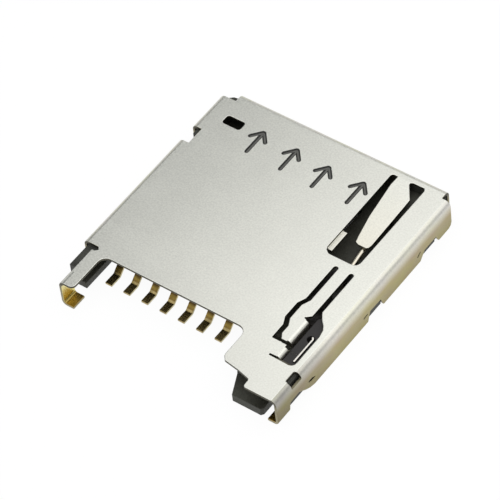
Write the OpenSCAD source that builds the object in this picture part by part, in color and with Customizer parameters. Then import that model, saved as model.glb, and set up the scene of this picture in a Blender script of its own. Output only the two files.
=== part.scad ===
// Push-push card socket, surface mount, one row of eight contacts along the mouth.
// X runs along the mouth, +Y from the mouth to the rear, +Z up from the board.
// Origin: middle of the cover's footprint, on the board. Sizes in millimetres.

/* [Cover] */
// Width over the side walls
cover_w = 13.84; // [13.4:0.02:14.6]
// Depth, front of the right horn to the rear wall
cover_d = 15.18; // [14.9:0.02:16]
// Height over the board
cover_h = 1.7; // [1.66:0.01:1.9]
// Sheet thickness
sheet_t = 0.15; // [0.12:0.01:0.17]
// Outer radius of the wall bends
bend_r = 0.32; // [0.26:0.01:0.4]
// Outer radius of the foot bends
foot_r = 0.24; // [0.2:0.01:0.3]

/* [Mouth] */
// Depth of the recess in the mouth edge behind the horn's front
recess_d = 2.92; // [2.7:0.02:3]
// Width of the left arm
arm_w = 0.74; // [0.66:0.01:0.86]
// Left arm's outer edge in from the side wall
arm_inset = 0.73; // [0.66:0.01:0.8]
// Left arm's end behind the horn's front
arm_back = 0.5; // [0.4:0.02:0.7]
// Outer radius of the bend at the arm's end
arm_bend = 0.36; // [0.26:0.01:0.44]
// Length of the arm's wall and foot
arm_foot_l = 0.88; // [0.7:0.02:1]
// How far the arm's foot reaches in from the wall
arm_foot_w = 0.72; // [0.5:0.02:0.8]
// Outer radius of the arm's foot
arm_foot_r = 0.3; // [0.24:0.01:0.34]
// Width of the right horn
horn_w = 3.77; // [3.6:0.01:4]
// Width of the horn's front lip
lip_w = 1.92; // [1.7:0.02:2.1]
// Length of the horn's front lip
lip_l = 0.5; // [0.4:0.02:0.6]
// Corner radius of the recess at the horn
recess_r = 0.48; // [0.3:0.02:0.6]
// Relief slot between left wall and arm
relief_w = 0.28; // [0.2:0.02:0.36]
// Length of the right front foot
horn_foot_l = 1; // [0.8:0.02:1.1]
// How far the right front foot reaches in
horn_foot_w = 0.63; // [0.5:0.01:0.7]

/* [Walls] */
// Height of the raised stretches of the walls' lower edge
wall_lift = 0.57; // [0.5:0.01:0.6]
// Height of the rear wall's lower edge
rear_lift = 0.3; // [0.24:0.02:0.4]
// Corner relief at the rear bends
corner_relief = 0.6; // [0.5:0.02:0.7]
// Height of the catch slits in the walls
slit_h = 0.06; // [0.04:0.01:0.09]
// Depth of the notch in the left side
notch_d = 0.58; // [0.5:0.02:0.65]
// Length of the notch in the left side
notch_l = 1.07; // [0.9:0.01:1.15]

/* [Tongues] */
// Length of the pin tongue
tongue_l = 4.5; // [4.3:0.02:4.6]
// Bridge between the pin tongue's window and the slots of the slender tongue
bridge_w = 0.6; // [0.5:0.02:0.7]
// Width of the slender tongue
slender_w = 0.65; // [0.55:0.01:0.7]
// Depth of the flanges under the cover's top
flange_d = 0.46; // [0.4:0.02:0.5]
// Outer radius of the flange bends
flange_r = 0.22; // [0.18:0.01:0.26]

/* [Moulding] */
// Gap between the moulding's sides and the cover's walls
side_gap = 0.09; // [0.06:0.01:0.12]
// Gap between the moulding's rear and the rear wall
rear_gap = 0.06; // [0.04:0.01:0.1]
// Floor thickness
floor_t = 0.58; // [0.54:0.01:0.62]
// Front edge of the floor behind the mouth edge
floor_back = 1.08; // [1.06:0.02:1.3]
// Width of the slider's lane beside the card slot
lane_w = 1.61; // [1.55:0.01:1.7]
// Left beam's outer wall
beam_w = 0.63; // [0.55:0.01:0.7]
// Gap between the ledge along the left beam and the first tail
ledge_gap = 0.48; // [0.45:0.01:0.6]
// Left beam's front end behind the horn's front
beam_back = 1.79; // [1.7:0.02:1.9]
// Right side wall
rail_w = 0.28; // [0.22:0.01:0.32]
// Rear wall
stop_w = 0.3; // [0.24:0.02:0.36]
// Guide block's clearance from the last contact's tail
block_gap = 0.82; // [0.4:0.02:1]
// Lead-in along the floor's front edge
lead_in = 0.14; // [0.1:0.01:0.16]
// Guide block height
block_h = 0.48; // [0.4:0.01:0.52]

/* [Contacts] */
// Where the row sits in its room beside the pin's boss, 0 = left, 1 = right
row_side = 0.4133; // [0.35:0.01:0.5]
// Spacing of the contacts
pitch = 1.1; // [1.05:0.01:1.12]
// Width of a contact's tail
tail_w = 0.4; // [0.34:0.01:0.44]
// Contact strip thickness
contact_t = 0.12; // [0.1:0.01:0.13]
// Flat length of a tail on the board
tail_l = 0.69; // [0.6:0.01:0.8]
// Slant of a tail
tail_slant = 43; // [40:1:48]
// Width of a spring beam
beam_t_w = 0.5; // [0.44:0.01:0.56]
// Length of a floor window over a spring beam
win_l = 4.4; // [4.2:0.02:4.5]
// Width of a floor window
win_w = 0.74; // [0.7:0.01:0.8]
// Height of a contact's crest over the floor
crest_h = 0.36; // [0.3:0.01:0.4]

/* [Slider] */
// Full travel of the slider
travel = 2.4; // [2:0.05:2.5]
// Running gap under and beside the slider
run_gap = 0.02; // [0.01:0.005:0.04]
// Gap between slider and right side wall
slide_gap = 0.06; // [0.04:0.01:0.08]
// Width of the slider's front arm
arm2_w = 0.78; // [0.72:0.01:0.8]
// Thickness left under the cam groove
web_t = 0.14; // [0.12:0.01:0.18]
// Wall at the left of the cam groove
cam_wall = 0.16; // [0.12:0.01:0.2]
// Wall in front of the cam groove
front_wall = 0.21; // [0.16:0.01:0.26]
// Length of the cam plate behind the pin's moving leg
plate_back = 1.2; // [1:0.05:1.3]
// Side throw of the pin's leg in the cam groove
throw = 0.5; // [0.4:0.01:0.52]
// Overtravel past the lock
overtravel = 0.5; // [0.4:0.02:0.6]

/* [Pin and springs] */
// Pin's fixed leg in from the right wall
pivot_in = 2.54; // [2.5:0.01:2.6]
// Pin's fixed leg in from the rear wall
pivot_back = 2.29; // [2.2:0.01:2.4]
// Pin's moving leg in from the right wall
leg_in = 1.87; // [1.84:0.01:1.92]
// Distance from the fixed leg forward to the moving leg
pin_reach = 4.9; // [4.7:0.05:5]
// Pin wire diameter
pin_d = 0.28; // [0.24:0.01:0.29]
// Radial gap round the pin's legs
leg_gap = 0.03; // [0.02:0.005:0.04]
// Centreline radius of the pin's bends
pin_r = 0.2; // [0.18:0.01:0.21]
// Outside diameter of the coil spring
coil_d = 0.74; // [0.68:0.01:0.76]
// Wire diameter of the coil spring
coil_wire = 0.11; // [0.09:0.005:0.12]
// Turns of the coil spring
coil_n = 15; // [12:1:17]
// Thickness of the lock spring
lock_t = 0.09; // [0.08:0.01:0.1]
// Height of the lock spring
lock_h = 0.55; // [0.45:0.01:0.6]
// Thickness of the switch leaves
leaf_t = 0.1; // [0.08:0.01:0.12]

/* [Hidden] */
$fn = 48;
eps = 0.01;
xl = -cover_w / 2;
xr = cover_w / 2;
yf = -cover_d / 2;
yr = cover_d / 2;
under = cover_h - sheet_t;
mouth_y = yf + recess_d;
arm_x = xl + arm_inset;
arm_y = yf + arm_back;
arm_wall_x = arm_x - 0.16;
horn_x = xr - horn_w;
wall_y0 = mouth_y + 0.34;
wall_y1 = yr - corner_relief;
base_x0 = xl + sheet_t + side_gap;
base_x1 = xr - sheet_t - side_gap;
base_y1 = yr - sheet_t - rear_gap;
floor_y = mouth_y + floor_back;
slot_x0 = base_x0 + beam_w;
slot_x1 = base_x1 - lane_w;
stop_y = base_y1 - stop_w;
rail_x = base_x1 - rail_w;
slide_x1 = rail_x - slide_gap;
slide_z = floor_t + run_gap;
arm2_x = slide_x1 - arm2_w;
arm2_y = yf + 2.3;
arm2_top = under - 0.08;
pin_z = under - 0.2 - pin_d / 2;
body_top = pin_z - pin_d / 2 - run_gap;
pivot_x = xr - pivot_in;
pivot_y = yr - pivot_back;
leg_x = xr - leg_in;
leg_y = pivot_y - pin_reach;
pin_l = norm([leg_x - pivot_x, leg_y - pivot_y]);
pin_a = atan2(leg_y - pivot_y, leg_x - pivot_x);
leg_foot = slide_z + web_t + leg_gap;
groove_w = pin_d + 2 * leg_gap;
turn_room = 0.07;
side_cut = sqrt(2) * (bend_r - sheet_t - side_gap + 0.02);
rear_cut = sqrt(2) * (bend_r - sheet_t - rear_gap + 0.02);
body_y0 = leg_y - travel - groove_w / 2 - turn_room - front_wall;
body_y1 = leg_y + plate_back;
body_x0 = leg_x - throw - groove_w / 2 - cam_wall;
tall_x = slide_x1 - 0.57;
boss_x0 = pivot_x - pin_d / 2 - leg_gap - 0.31;
contact_x = slot_x0 + row_side * (boss_x0 - slot_x0 - 7 * pitch);
boss_x1 = rail_x - 0.95;
boss_y = pivot_y - 0.48;
coil_x = rail_x - 0.08 - coil_d / 2;
coil_z = (floor_t + under) / 2 - 0.02;
post_r = coil_d / 2 - coil_wire - 0.06;
win_y1 = stop_y - 1.9;
win_y0 = win_y1 - win_l;
strip_z = floor_t - 0.05 - contact_t / 2;
tip_y = mouth_y - 0.315;
crease_y = tip_y + tail_l;
block_y = yf + 0.06;
lock_x = slide_x1 - 0.27;
pin_win_x = xr - 3.47;
pin_win_y = yr - 6.38;
slender_y = pin_win_y - bridge_w;
ledge_x = contact_x - tail_w / 2 - ledge_gap;
block_x0 = contact_x + 7 * pitch + tail_w / 2 + block_gap;
stop_x0 = arm2_x - 0.29;
hinge_y = yr - 0.55;
tongue_tilt = asin((under - pin_z - pin_d / 2 - 0.004) / tongue_l);

steel = [0.80, 0.80, 0.77];
gold = [0.72, 0.62, 0.35];
black = [0.14, 0.14, 0.14];

// Points of an arc about c, radius r, from angle a to angle b
function arc(c, r, a, b, n = 6) =
  [for (i = [0:n]) [c[0] + r * cos(a + (b - a) * i / n), c[1] + r * sin(a + (b - a) * i / n)]];

// A polyline with its inner corners rounded to radius r
function rounded(p, r, n = 5) = [for (i = [0:len(p) - 1])
  let (last = len(p) - 1)
  each (i == 0 || i == last) ? [p[i]] : corner(p[i - 1], p[i], p[i + 1], r, n)];
function corner(a, b, c, r, n) =
  let (u = (a - b) / norm(a - b),
       v = (c - b) / norm(c - b),
       half = acos(max(-1, min(1, u * v))) / 2,
       cut = r / tan(half),
       m = (u + v) / norm(u + v),
       o = b + m * r / sin(half),
       s = b + u * cut - o,
       e = b + v * cut - o,
       a0 = atan2(s[1], s[0]),
       a1 = atan2(e[1], e[0]),
       turn = a1 - a0 > 180 ? a1 - a0 - 360 : a1 - a0 < -180 ? a1 - a0 + 360 : a1 - a0)
  [for (i = [0:n]) o + r * [cos(a0 + turn * i / n), sin(a0 + turn * i / n)]];

// Outline of a strip of thickness t along a polyline
function side_dir(p, i) =
  let (last = len(p) - 1,
       d0 = i == 0 ? (p[1] - p[0]) / norm(p[1] - p[0]) : (p[i] - p[i - 1]) / norm(p[i] - p[i - 1]),
       d1 = i == last ? d0 : (p[i + 1] - p[i]) / norm(p[i + 1] - p[i]),
       m = (d0 + d1) / norm(d0 + d1))
  [-m[1], m[0]] / (m * d0);
function strip(p, t) = concat(
  [for (i = [0:len(p) - 1]) p[i] + side_dir(p, i) * t / 2],
  [for (i = [len(p) - 1:-1:0]) p[i] - side_dir(p, i) * t / 2]);

// Extrude a Y-Z outline along X from x0 to x1
module along_x(x0, x1) {
  translate([x0, 0, 0])
    rotate([90, 0, 90])
      linear_extrude(x1 - x0)
        children();
}

// Extrude an X-Z outline along Y from y0 to y1
module along_y(y0, y1) {
  translate([0, y1, 0])
    rotate([90, 0, 0])
      linear_extrude(y1 - y0)
        children();
}

module slab(x0, y0, z0, x1, y1, z1) {
  translate([x0, y0, z0])
    cube([x1 - x0, y1 - y0, z1 - z0]);
}

// Quarter ring, centre at the origin, in the first quadrant
module quarter(r, t) {
  intersection() {
    difference() {
      circle(r);
      circle(r - t);
    }
    square([r, r]);
  }
}

// Bend from the top plate down a wall whose outer face is at the right
module right_bend(x, y0, y1, r = bend_r) {
  along_y(y0, y1)
    translate([x - r, cover_h - r])
      quarter(r, sheet_t);
}

module left_bend(x, y0, y1, r = bend_r) {
  mirror([1, 0, 0])
    right_bend(-x, y0, y1, r);
}

// Rectangle with round corners
module soft_rect(x0, y0, x1, y1, r) {
  for (x = [x0 + r, x1 - r])
    for (y = [y0 + r, y1 - r])
      translate([x, y])
        circle(r);
  translate([x0 + r, y0])
    square([x1 - x0 - 2 * r, y1 - y0]);
  translate([x0, y0 + r])
    square([x1 - x0, y1 - y0 - 2 * r]);
}

// Rear window that holds the pin tongue
module pin_window() {
  polygon(concat(
    [[pin_win_x, pin_win_y + 0.34], [pin_win_x + 0.09, pin_win_y + 0.14], [pin_win_x + 0.3, pin_win_y]],
    arc([xr - 1.86, pin_win_y + 0.34], 0.34, -90, 0),
    [[xr - 1.5, hinge_y - 0.13], [xr - 1.58, hinge_y + 0.02], [xr - 2.26, hinge_y + 0.02],
     [xr - 2.33, hinge_y - 0.04], [xr - 2.36, hinge_y - 0.06]],
    [[xr - 2.36, hinge_y], [pin_win_x + 0.33, hinge_y]],
    arc([pin_win_x + 0.165, hinge_y - 0.165], 0.165, 90, 180)));
}

// The pin tongue, flat, from its root to its tip
module pin_tongue_outline() {
  polygon([[xr - 3.13, hinge_y], [xr - 3.16, hinge_y - 0.6], [xr - 3.05, hinge_y - 1.6],
    [xr - 2.93, hinge_y - 2.78], [xr - 2.69, hinge_y - 4.04], [xr - 2.6, hinge_y - tongue_l + 0.08],
    [xr - 2.4, hinge_y - tongue_l], [xr - 1.95, hinge_y - tongue_l],
    [xr - 1.84, hinge_y - tongue_l + 0.08], [xr - 1.79, hinge_y - tongue_l + 0.3],
    [xr - 1.78, hinge_y - 0.95], [xr - 2.36, hinge_y - 0.14], [xr - 2.36, hinge_y]]);
}

// Front window with the slender tongue and the short tab in it
module front_window() {
  s = xr - 1.9 - slender_w / 2;
  e = xr - 1.9 + slender_w / 2;
  difference() {
    union() {
      polygon([[s - 0.25, slender_y], [s - 0.25, yf + 5.94], [s - 0.45, yf + 5.49], [s - 0.45, yf + 4.51],
        [s - 0.25, yf + 4.07], [s - 0.25, yf + 3.15], [xr - 1.93, yf + 3.15], [xr - 1.93, yf + 2.19],
        [xr - 0.82, yf + 2.19], [xr - 0.68, yf + 2.25], [xr - 0.6, yf + 2.36], [xr - 0.58, yf + 2.5],
        [xr - 0.58, yf + 4.3], [xr - 0.66, yf + 4.72], [xr - 0.8, yf + 4.96], [xr - 1.06, yf + 5.23],
        [e + 0.25, yf + 5.62], [e + 0.25, slender_y]]);
      translate([s - 0.125, slender_y])
        circle(0.125);
      translate([e + 0.125, slender_y])
        circle(0.125);
      translate([xr - 1.93, yf + 2.25])
        circle(0.06);
    }
    // slender tongue, its head narrower where the flange starts
    polygon([[s, slender_y + 0.3], [s, yf + 5.94], [s - 0.2, yf + 5.49], [s - 0.2, yf + 4.53],
      [s, yf + 4.12], [s, yf + 3.6], [s + 0.18, yf + 3.3], [xr - 1.73, yf + 3.3],
      [xr - 1.73, yf + 4.88], [xr - 1.87, yf + 4.93], [e, yf + 5.18], [e, slender_y + 0.3]]);
    // short tab
    translate([xr - 2.6, yf + 2.31])
      square([1, 0.83]);
  }
}

// Flange bent down from an edge at the right, outer face at x
module flange(x, y0, y1) {
  along_y(y0, y1)
    union() {
      translate([x - flange_r, cover_h - flange_r])
        quarter(flange_r, sheet_t);
      translate([x - sheet_t, cover_h - flange_d])
        square([sheet_t, flange_d - flange_r]);
    }
}

// Outline of the flat top, without the bends
module top_outline() {
  difference() {
    polygon(concat(
      [[xl + bend_r, wall_y0], [xl + bend_r, wall_y1]],
      [[xl + 0.93, wall_y1], [xl + 0.93, yr - bend_r], [xr - 0.5, yr - bend_r], [xr - 0.5, wall_y1]],
      [[xr - bend_r, wall_y1], [xr - bend_r, yf]],
      [[xr - lip_w + 0.14, yf], [xr - lip_w + 0.04, yf + 0.05], [xr - lip_w, yf + 0.16]],
      [[xr - lip_w, yf + lip_l - 0.06], [xr - lip_w - 0.06, yf + lip_l + 0.02]],
      [[xr - lip_w - 0.74, yf + lip_l + 0.19], [horn_x + 0.22, yf + 0.83], [horn_x + 0.03, yf + 1.06]],
      [[horn_x, yf + 1.2]],
      arc([horn_x - recess_r, mouth_y - recess_r], recess_r, 0, 90),
      arc([arm_x + arm_w + 0.45, mouth_y - 0.45], 0.45, 90, 180),
      arc([arm_x + arm_w - 0.28, arm_y + 0.28], 0.28, 0, -90),
      [[arm_wall_x + arm_bend, arm_y], [arm_wall_x + arm_bend, arm_y + arm_foot_l]],
      [[arm_x, arm_y + arm_foot_l], [arm_x, wall_y0 - relief_w]],
      [[arm_x + 0.17, wall_y0 - relief_w], [arm_x + 0.19, wall_y0 - relief_w * 0.85]],
      [[arm_x + 0.3, wall_y0 - relief_w / 2]],
      [[arm_x + 0.19, wall_y0]]));
    // small window at the rear left
    soft_rect(xl + 1.18, yr - 2.14, xl + 2.26, yr - 1.58, 0.14);
    pin_window();
    front_window();
    // notch in the left side, the part in the flat top
    translate([xl + bend_r - eps, yr - 4.11])
      square([notch_d - bend_r + eps, notch_l]);
    // hole across the right bend, the part in the flat top
    soft_rect(xr - 0.38, yf + 1.27, xr, yf + 2.03, 0.12);
  }
}

// Lower edge of a side wall: a = flat stretches that reach the board
module right_wall_outline() {
  difference() {
    polygon([[yf, cover_h - bend_r], [yf, foot_r], [yf + horn_foot_l, foot_r],
      [yf + horn_foot_l + 0.05, wall_lift + 0.04],
      [yf + 1.74, wall_lift + 0.08], [yf + 2.27, 0.28], [yf + 2.6, 0.1], [yf + 2.98, 0],
      [yf + 7.4, 0], [yf + 7.62, wall_lift], [yf + 8.5, wall_lift - 0.03], [yf + 8.7, 0],
      [yr - 3.32, 0], [yr - 2.93, wall_lift - 0.11], [yr - 1.96, wall_lift - 0.11], [yr - 1.74, 0],
      [yr - 0.86, 0], [yr - 0.68, 0.1], [wall_y1, 0.3], [wall_y1, cover_h - bend_r]]);
    // catch slits
    polygon([[yf + 2.5, wall_lift - 0.02], [yf + 2.56, wall_lift + slit_h],
      [yf + 2.82, wall_lift + slit_h - 0.02], [yf + 3.06, wall_lift - 0.08],
      [yf + 3.06, wall_lift - 0.13], [yf + 2.78, wall_lift - 0.13]]);
    polygon([[yf + 7.06, wall_lift - 0.09], [yf + 7.06, wall_lift - 0.05 + slit_h],
      [yf + 7.4, wall_lift - 0.02 + slit_h], [yf + 7.4, wall_lift - 0.04]]);
    polygon([[yr - 3.5, wall_lift - 0.1], [yr - 3.6, wall_lift - 0.05],
      [yr - 3.32, wall_lift + 0.13], [yr - 3.25, wall_lift + 0.07]]);
  }
}

module left_wall_outline() {
  difference() {
    polygon([[wall_y0, cover_h - bend_r], [wall_y0, 0.12], [wall_y0 + 0.12, 0],
      [yf + 7.4, 0], [yf + 7.62, wall_lift], [yf + 8.5, wall_lift], [yf + 8.7, 0],
      [yr - 4.9, 0], [yr - 4.68, wall_lift - 0.04], [yr - 2.4, wall_lift - 0.04], [yr - 2.18, 0],
      [yr - 0.86, 0], [wall_y1, 0.3], [wall_y1, cover_h - bend_r]]);
    translate([yr - 4.11, floor_t])
      square([notch_l, cover_h]);
    polygon([[yf + 7.1, wall_lift], [yf + 7.1, wall_lift + slit_h],
      [yf + 7.45, wall_lift + slit_h + 0.05], [yf + 7.45, wall_lift + 0.08]]);
  }
}

// Foot bent inward under a wall whose outer face is at the right
module right_foot(x, y0, y1, reach, r = foot_r) {
  along_y(y0, y1)
    union() {
      translate([x - r, r])
        mirror([0, 1])
          quarter(r, sheet_t);
      translate([x - reach, 0])
        square([reach - r, sheet_t]);
    }
}

module cover() {
  color(steel)
    difference() {
      union() {
        translate([0, 0, under])
          linear_extrude(sheet_t)
            top_outline();
        // pin tongue, slanted down to the wire
        translate([0, hinge_y, cover_h])
          rotate([tongue_tilt, 0, 0])
            translate([0, -hinge_y, -sheet_t])
              linear_extrude(sheet_t)
                pin_tongue_outline();
        right_bend(xr, yf, wall_y1);
        along_x(xr - sheet_t, xr)
          right_wall_outline();
        right_foot(xr, yf, yf + horn_foot_l, horn_foot_w);
        left_bend(xl, wall_y0, wall_y1);
        along_x(xl, xl + sheet_t)
          left_wall_outline();
        // rear wall
        along_x(xl + 0.93, xr - 0.5)
          union() {
            translate([yr - bend_r, cover_h - bend_r])
              quarter(bend_r, sheet_t);
            translate([yr - sheet_t, rear_lift])
              square([sheet_t, cover_h - bend_r - rear_lift]);
          }
        // arm wall and foot
        left_bend(arm_wall_x, arm_y, arm_y + arm_foot_l, arm_bend);
        slab(arm_wall_x, arm_y, arm_foot_r, arm_wall_x + sheet_t, arm_y + arm_foot_l,
          cover_h - arm_bend);
        mirror([1, 0, 0])
          right_foot(-arm_wall_x, arm_y, arm_y + arm_foot_l, arm_foot_w, arm_foot_r);
        // flanges that guide the card's edge
        flange(xr - 1.73 + flange_r, yf + 3.36, yf + 4.84);
        flange(xr - 1.62 + flange_r, yf + 2.33, yf + 2.98);
        // strip set down beside the pin window
        slab(pin_win_x - 0.14, pin_win_y + 0.3, under - sheet_t, pin_win_x + 0.26, pin_win_y + 1.64,
          under + eps);
      }
      // notch through the left bend
      slab(xl - eps, yr - 4.11, floor_t, xl + bend_r, yr - 4.11 + notch_l, cover_h + eps);
      // hole through the right bend
      translate([0, 0, cover_h - 0.34])
        linear_extrude(0.34 + eps)
          soft_rect(xr - 0.38, yf + 1.27, xr + 0.3, yf + 2.03, 0.12);
    }
}

// Floor and everything low on the moulding, seen from above
module floor_outline() {
  polygon([[base_x0, yf + beam_back], [base_x0, base_y1 - 0.43], [base_x0 + 0.53, base_y1],
    [base_x1 - 0.36, base_y1], [base_x1, base_y1 - 0.4],
    [base_x1, yf + 1.24], [xr - 0.96, yf + 1.24], [xr - 0.96, block_y + 0.14],
    [xr - 1.07, block_y], [block_x0 + 0.61, block_y], [block_x0, yf + 1.4],
    [block_x0, floor_y], [ledge_x, floor_y], [ledge_x, yf + beam_back]]);
}

// The walls over the floor
module wall_outline() {
  // left beam and side
  polygon([[base_x0, yf + beam_back], [base_x0, base_y1 - 0.43], [slot_x0, base_y1 - 0.43 + beam_w * 0.8],
    [slot_x0, yf + beam_back + 0.1], [slot_x0 - 0.12, yf + beam_back]]);
  // rear
  polygon([[slot_x0 - 0.1, stop_y - 0.2], [slot_x0, base_y1 - 0.43 + beam_w * 0.8 - 0.02],
    [base_x0 + 0.53, base_y1], [base_x1 - 0.36, base_y1], [base_x1 - 0.1, stop_y],
    [slot_x0, stop_y]]);
  // right side
  polygon([[rail_x, yf + 1.24], [rail_x, base_y1 - 0.1], [base_x1 - 0.3, base_y1 - 0.05],
    [base_x1, base_y1 - 0.4], [base_x1, yf + 1.24]]);
}

module base() {
  color(black)
    difference() {
      union() {
        difference() {
          linear_extrude(floor_t)
            floor_outline();
          // the guide block and the arm's ledge stay lower than the floor
          slab(xr - 4, yf - eps, block_h, xr, yf + 1.24, cover_h);
        }
        linear_extrude(under)
          wall_outline();
        // stop in front of the slider's long arm
        slab(stop_x0, yf + 1.24, 0, rail_x + eps, arm2_y - run_gap, under - 0.12);
        // boss for the pin and wall of the spring's channel
        slab(boss_x0, boss_y, 0, boss_x1, stop_y + eps, body_top);
        // post in the spring's rear end
        translate([coil_x, stop_y + eps, coil_z])
          rotate([90, 0, 0])
            cylinder(h = 0.7, r = post_r);
        // ribs that centre the moulding between the cover's walls
        for (y = [yf + 4, yf + 6.4, yr - 4.78, yr - 1.58]) {
          slab(base_x1 - eps, y, 0.62, base_x1 + side_gap, y + 0.4, 0.9);
          slab(base_x0 - side_gap, y, 0.62, base_x0 + eps, y + 0.4, 0.9);
        }
        // lugs that fill the raised stretches of the cover's side walls
        for (y = [yf + 7.7, yr - 2.86])
          slab(base_x1 - eps, y, 0, base_x1 + side_gap, y + 0.96, wall_lift - 0.13);
        slab(base_x0 - side_gap, yf + 7.7, 0, base_x0 + eps, yf + 8.66, wall_lift - 0.13);
        // hooks that hold the rear wall
        for (x = [-3.9, 0, 3.9])
          slab(x - 0.4, base_y1 - eps, 0.62, x + 0.4, base_y1 + rear_gap, 0.9);
      }
      // lead-in for the card along the floor's front edge
      translate([slot_x0, floor_y, floor_t])
        rotate([45, 0, 0])
          translate([0, -lead_in / sqrt(2), -lead_in / sqrt(2)])
            cube([slot_x1 - slot_x0, sqrt(2) * lead_in, sqrt(2) * lead_in]);
      // windows over the spring beams and slots for the moulded-in strips
      for (i = [0:7]) {
        x = contact_x + i * pitch;
        slab(x - win_w / 2, win_y0, -eps, x + win_w / 2, win_y1, floor_t + eps);
        slab(x - tail_w / 2, floor_y - eps, strip_z - contact_t / 2, x + tail_w / 2, win_y0 + eps,
          strip_z + contact_t / 2);
      }
      // bore for the pin's fixed leg
      translate([pivot_x, pivot_y, floor_t - 0.02])
        cylinder(h = cover_h, r = pin_d / 2 + leg_gap);
      // its mouth opens out under the pin's bend
      translate([pivot_x, pivot_y, body_top - 0.08])
        cylinder(h = 0.08 + eps, r1 = pin_d / 2 + leg_gap, r2 = pin_d / 2 + leg_gap + 0.08);
      // top edges cut back under the cover's bends
      for (x = [base_x0, base_x1])
        translate([x, 0, under])
          rotate([0, 45, 0])
            cube([side_cut, 2 * cover_d, side_cut], center = true);
      translate([0, base_y1, under])
        rotate([45, 0, 0])
          cube([2 * cover_w, rear_cut, rear_cut], center = true);
      // side notch behind the cover's notch
      slab(base_x0 - side_gap - eps, yr - 4.29, floor_t, base_x0 + 0.31, yr - 3.33, cover_h);
      // pocket for the switch leaves
      slab(slot_x0 + 0.45, stop_y - eps, floor_t + 0.03, slot_x0 + 3.3, stop_y + 0.12, 1.12);
      // slots for the switch tails
      switch_tail(switch_fixed_x);
      switch_tail(switch_spring_x);
      slab(switch_spring_x - 0.2, stop_y - eps, 0.62, switch_spring_x + 0.2, stop_y + 0.12, 1.02);
      // the left ledge and the beam's front end stand clear of the board
      slab(base_x0 - eps, yf + beam_back - eps, -eps, ledge_x + eps, floor_y, 0.16);
      // lightening pocket under the left beam
      slab(base_x0 + 0.2, yf + 3.4, -eps, base_x0 + 0.45, yf + 6.6, floor_t - 0.1);
      // the beam's front end stays clear of the arm above it
      slab(base_x0 - eps, yf + beam_back - eps, under - 0.07, slot_x0 + eps, wall_y0 - 0.04, cover_h);
    }
}
switch_fixed_x = slot_x0 + 0.75;
switch_spring_x = slot_x0 + 3.4;

// Upright leg and foot of a switch leaf, moulded into the rear wall
module switch_tail(x) {
  y = stop_y + 0.12;
  along_x(x - 0.2, x + 0.2)
    polygon(strip([[y + leaf_t / 2, 1.02], [y + leaf_t / 2, leaf_t / 2], [yr + 0.28, leaf_t / 2]], leaf_t));
}

module contact(i) {
  x = contact_x + i * pitch;
  rise = strip_z - contact_t / 2;
  color(gold) {
    along_x(x - tail_w / 2, x + tail_w / 2)
      polygon(strip(rounded([[tip_y, contact_t / 2], [crease_y, contact_t / 2],
        [crease_y + rise / tan(tail_slant), strip_z], [win_y0 + 0.3, strip_z]], 0.14), contact_t));
    along_x(x - beam_t_w / 2, x + beam_t_w / 2)
      polygon(strip(rounded([[win_y0 + 0.06, strip_z], [win_y0 + 0.7, strip_z],
        [win_y1 - 1, floor_t + crest_h - contact_t / 2], [win_y1 - 0.4, floor_t + crest_h - 0.34]],
        0.3), contact_t));
  }
}

module contact_1() { contact(0); }
module contact_2() { contact(1); }
module contact_3() { contact(2); }
module contact_4() { contact(3); }
module contact_5() { contact(4); }
module contact_6() { contact(5); }
module contact_7() { contact(6); }
module contact_8() { contact(7); }

module switch_fixed() {
  color(gold) {
    switch_tail(switch_fixed_x);
    slab(switch_fixed_x - 0.2, stop_y + 0.12 - leaf_t, 0.66, switch_fixed_x + 0.9,
      stop_y + 0.12, 0.98);
  }
}

module switch_spring() {
  x = switch_spring_x;
  y = stop_y;
  color(gold) {
    switch_tail(x);
    translate([0, 0, 0.62])
      linear_extrude(0.4)
        polygon(strip(rounded([[x + 0.2, y + 0.12 - leaf_t / 2], [x - 0.25, y + 0.12 - leaf_t / 2],
          [x - 0.9, y - 0.26], [x - 1.5, y - 0.42], [x - 2.2, y - 0.2]], 0.15), leaf_t));
  }
}

// Path of the pin's leg over the slider, from rest to full travel, on one side of the heart
function lane(side) = [[leg_x, leg_y], [leg_x + side * throw, leg_y - travel]];

module lane_cut(side) {
  p = lane(side);
  polygon(strip(p, groove_w));
  for (back = [0, turn_room])
    translate(p[1] - [0, back])
      circle(groove_w / 2);
  translate(p[1] - [groove_w / 2, turn_room])
    square([groove_w, turn_room]);
}

module groove_outline() {
  lane_cut(-1);
  lane_cut(1);
  translate([leg_x, leg_y])
    circle(groove_w / 2 + 0.05);
  // turn round the island's front, and the lock's seat in it
  translate([leg_x - throw, leg_y - travel - groove_w / 2 - turn_room])
    square([2 * throw, overtravel + groove_w / 2 + turn_room]);
  translate([leg_x, leg_y - travel + overtravel])
    circle(groove_w / 2);
  translate([leg_x - groove_w / 2, leg_y - travel])
    square([groove_w, overtravel]);
}

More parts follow.
